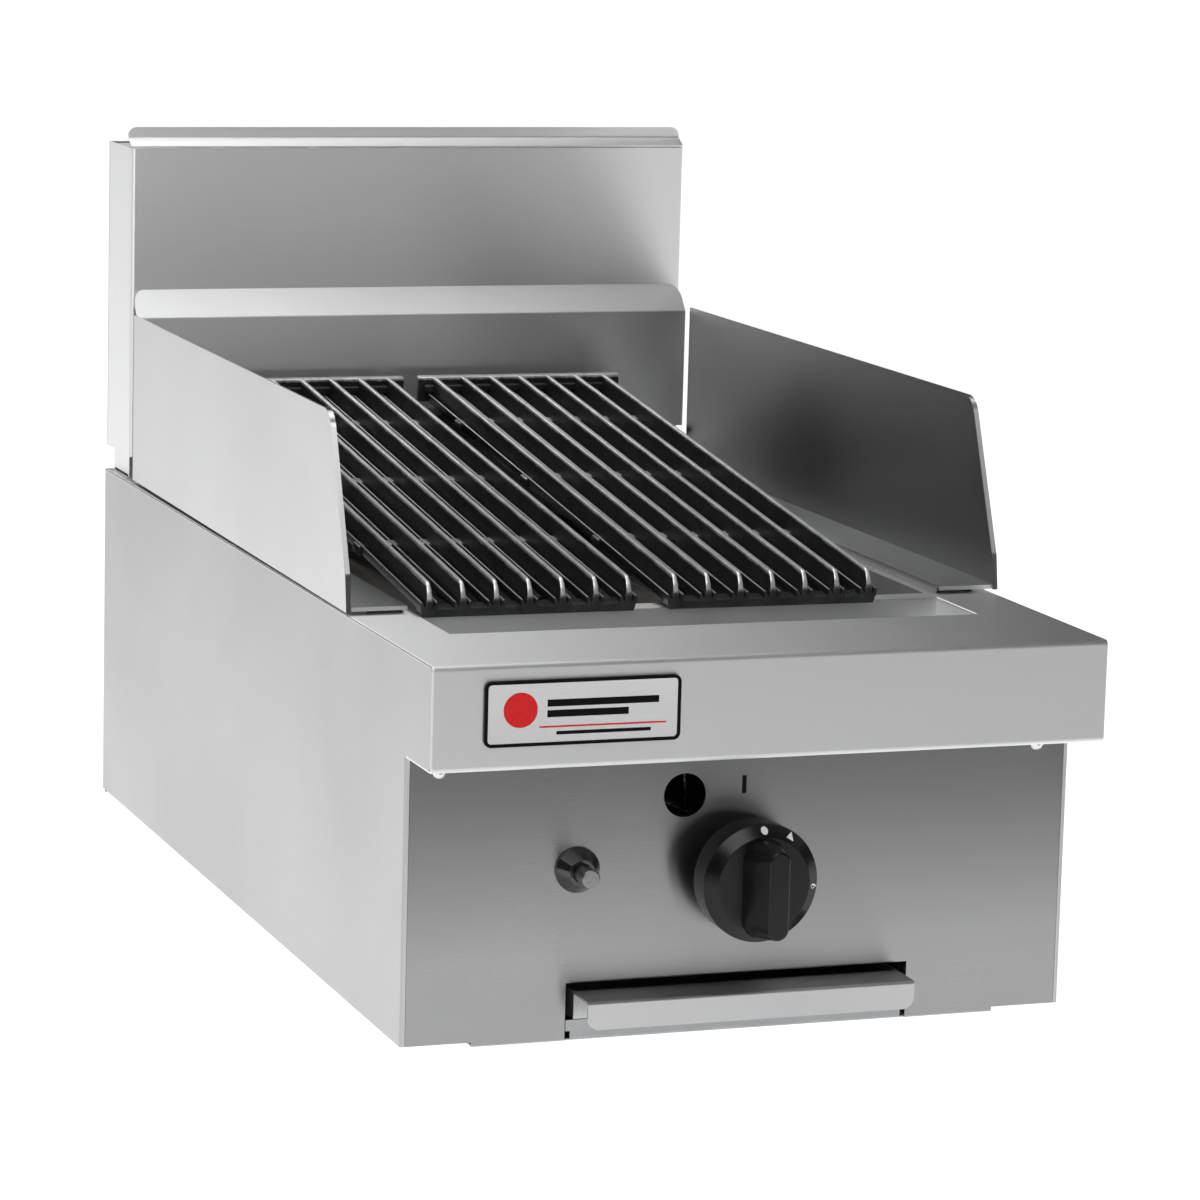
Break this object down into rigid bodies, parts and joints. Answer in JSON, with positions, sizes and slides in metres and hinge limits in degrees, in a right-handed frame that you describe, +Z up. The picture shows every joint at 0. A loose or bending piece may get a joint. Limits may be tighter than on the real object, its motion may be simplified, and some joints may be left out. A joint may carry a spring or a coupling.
{
  "type": "charbroiler grill",
  "caption": "Countertop gas charbroiler: tilted cast-iron grates over a burner chamber, side guards, rear flue, turn knob, push igniter and pull-out drip tray.",
  "frame": {"origin": "centre of the cabinet's footprint on its base face", "axes": "+X is the cook's right, +Y goes to the flue at the back, +Z is up"},
  "size_m": [0.404, 0.7725, 0.4605],
  "materials": {
    "stainless_body": "fine vertical brushing",
    "stainless_front": "fine horizontal brushing",
    "stainless_hob": "fine brushing along the width",
    "stainless_guard": "fine brushing",
    "stainless_splash": "fine horizontal brushing",
    "stainless_tray": "fine brushing",
    "heat_stained_steel": "heat stained",
    "burner_steel": "dull",
    "galvanised": "dull zinc",
    "plated_fastener": "bright",
    "bright_tube": "bright",
    "brass": "machined",
    "cast_iron": "seasoned cast iron",
    "black_plastic": "semi matte",
    "black_gloss_plastic": "gloss",
    "grey_button": "satin",
    "white_print": "printed",
    "black_print": "printed",
    "badge_black": "gloss",
    "badge_metal": "satin",
    "electrode_white": "glazed",
    "lead_rubber": "silicone sleeve"
  },
  "bodies": {
    "cabinet": {"right_side_panel": "stainless_body", "left_side_panel": "stainless_body", "base_pan": "galvanised", "rear_panel": "galvanised", "front_fascia": "stainless_front", "hob_top": "stainless_hob", "grease_trough": "stainless_hob", "trough_drain": "galvanised", "fascia_screws": "plated_fastener", "firebox_right_wall": "heat_stained_steel", "firebox_left_wall": "heat_stained_steel", "firebox_front_wall": "heat_stained_steel", "firebox_rear_wall": "heat_stained_steel", "left_burner": "burner_steel", "right_burner": "burner_steel", "burner_saddles": "heat_stained_steel", "left_radiant": "heat_stained_steel", "right_radiant": "heat_stained_steel", "radiant_rails": "heat_stained_steel", "grate_rear_rest": "heat_stained_steel", "valve_body": "brass", "valve_neck_nut": "brass", "manifold_pipe": "galvanised", "injectors": "brass", "supply_pipe": "galvanised", "gas_inlet": "brass", "pilot_burner": "brass", "pilot_bracket": "galvanised", "pilot_tube": "bright_tube", "flame_sensor": "bright_tube", "flame_sensor_lead": "bright_tube", "spark_electrode": "electrode_white", "igniter_lead": "lead_rubber", "igniter_body": "black_plastic", "igniter_nut": "black_plastic", "igniter_bezel": "black_gloss_plastic", "right_tray_runner": "galvanised", "left_tray_runner": "galvanised", "rear_splash_panel": "stainless_splash", "flue_shell": "stainless_splash", "flue_rear_panel": "galvanised", "flue_base_frame": "stainless_splash", "flue_duct": "galvanised", "flue_top_grille": "stainless_splash", "flue_lip": "stainless_splash", "badge_frame": "badge_black", "badge_plate": "badge_metal", "index_mark": "black_print", "rear_screws": "plated_fastener", "flue_screws": "plated_fastener"},
    "stem": {"stem_collar": "brass"},
    "knob": {"knob": "black_plastic", "valve_spindle": "plated_fastener", "knob_markings": "white_print"},
    "igniter_button": {"igniter_button": "grey_button"},
    "drip_tray": {"drip_tray": "stainless_tray"},
    "left_grate": {"left_grate": "cast_iron"},
    "right_grate": {"right_grate": "cast_iron"},
    "left_guard": {"left_guard": "stainless_guard"},
    "right_guard": {"right_guard": "stainless_guard"}
  },
  "joints": [
    {"name": "knob_press", "type": "slide", "parent": "cabinet", "child": "stem", "axis": [0, 1, 0], "range_m": [0, 0.0028], "stiffness_N_per_m": 1200, "springref_m": -0.004},
    {"name": "knob_turn", "type": "hinge", "parent": "stem", "child": "knob", "pos_m": [0, -0.365, 0.092], "axis": [0, -1, 0], "range_deg": [0, 150]},
    {"name": "igniter_press", "type": "slide", "parent": "cabinet", "child": "igniter_button", "axis": [0, 1, 0], "range_m": [0, 0.006], "stiffness_N_per_m": 900, "springref_m": -0.004},
    {"name": "tray_slide", "type": "slide", "parent": "cabinet", "child": "drip_tray", "axis": [0, -1, 0], "range_m": [0, 0.44]},
    {"name": "left_grate_lift", "type": "slide", "parent": "cabinet", "child": "left_grate", "axis": [0, 0, 1], "range_m": [0, 0.15]},
    {"name": "right_grate_lift", "type": "slide", "parent": "cabinet", "child": "right_grate", "axis": [0, 0, 1], "range_m": [0, 0.15]},
    {"name": "left_guard_lift", "type": "slide", "parent": "cabinet", "child": "left_guard", "axis": [0, 0, 1], "range_m": [0, 0.12]},
    {"name": "right_guard_lift", "type": "slide", "parent": "cabinet", "child": "right_guard", "axis": [0, 0, 1], "range_m": [0, 0.12]}
  ]
}
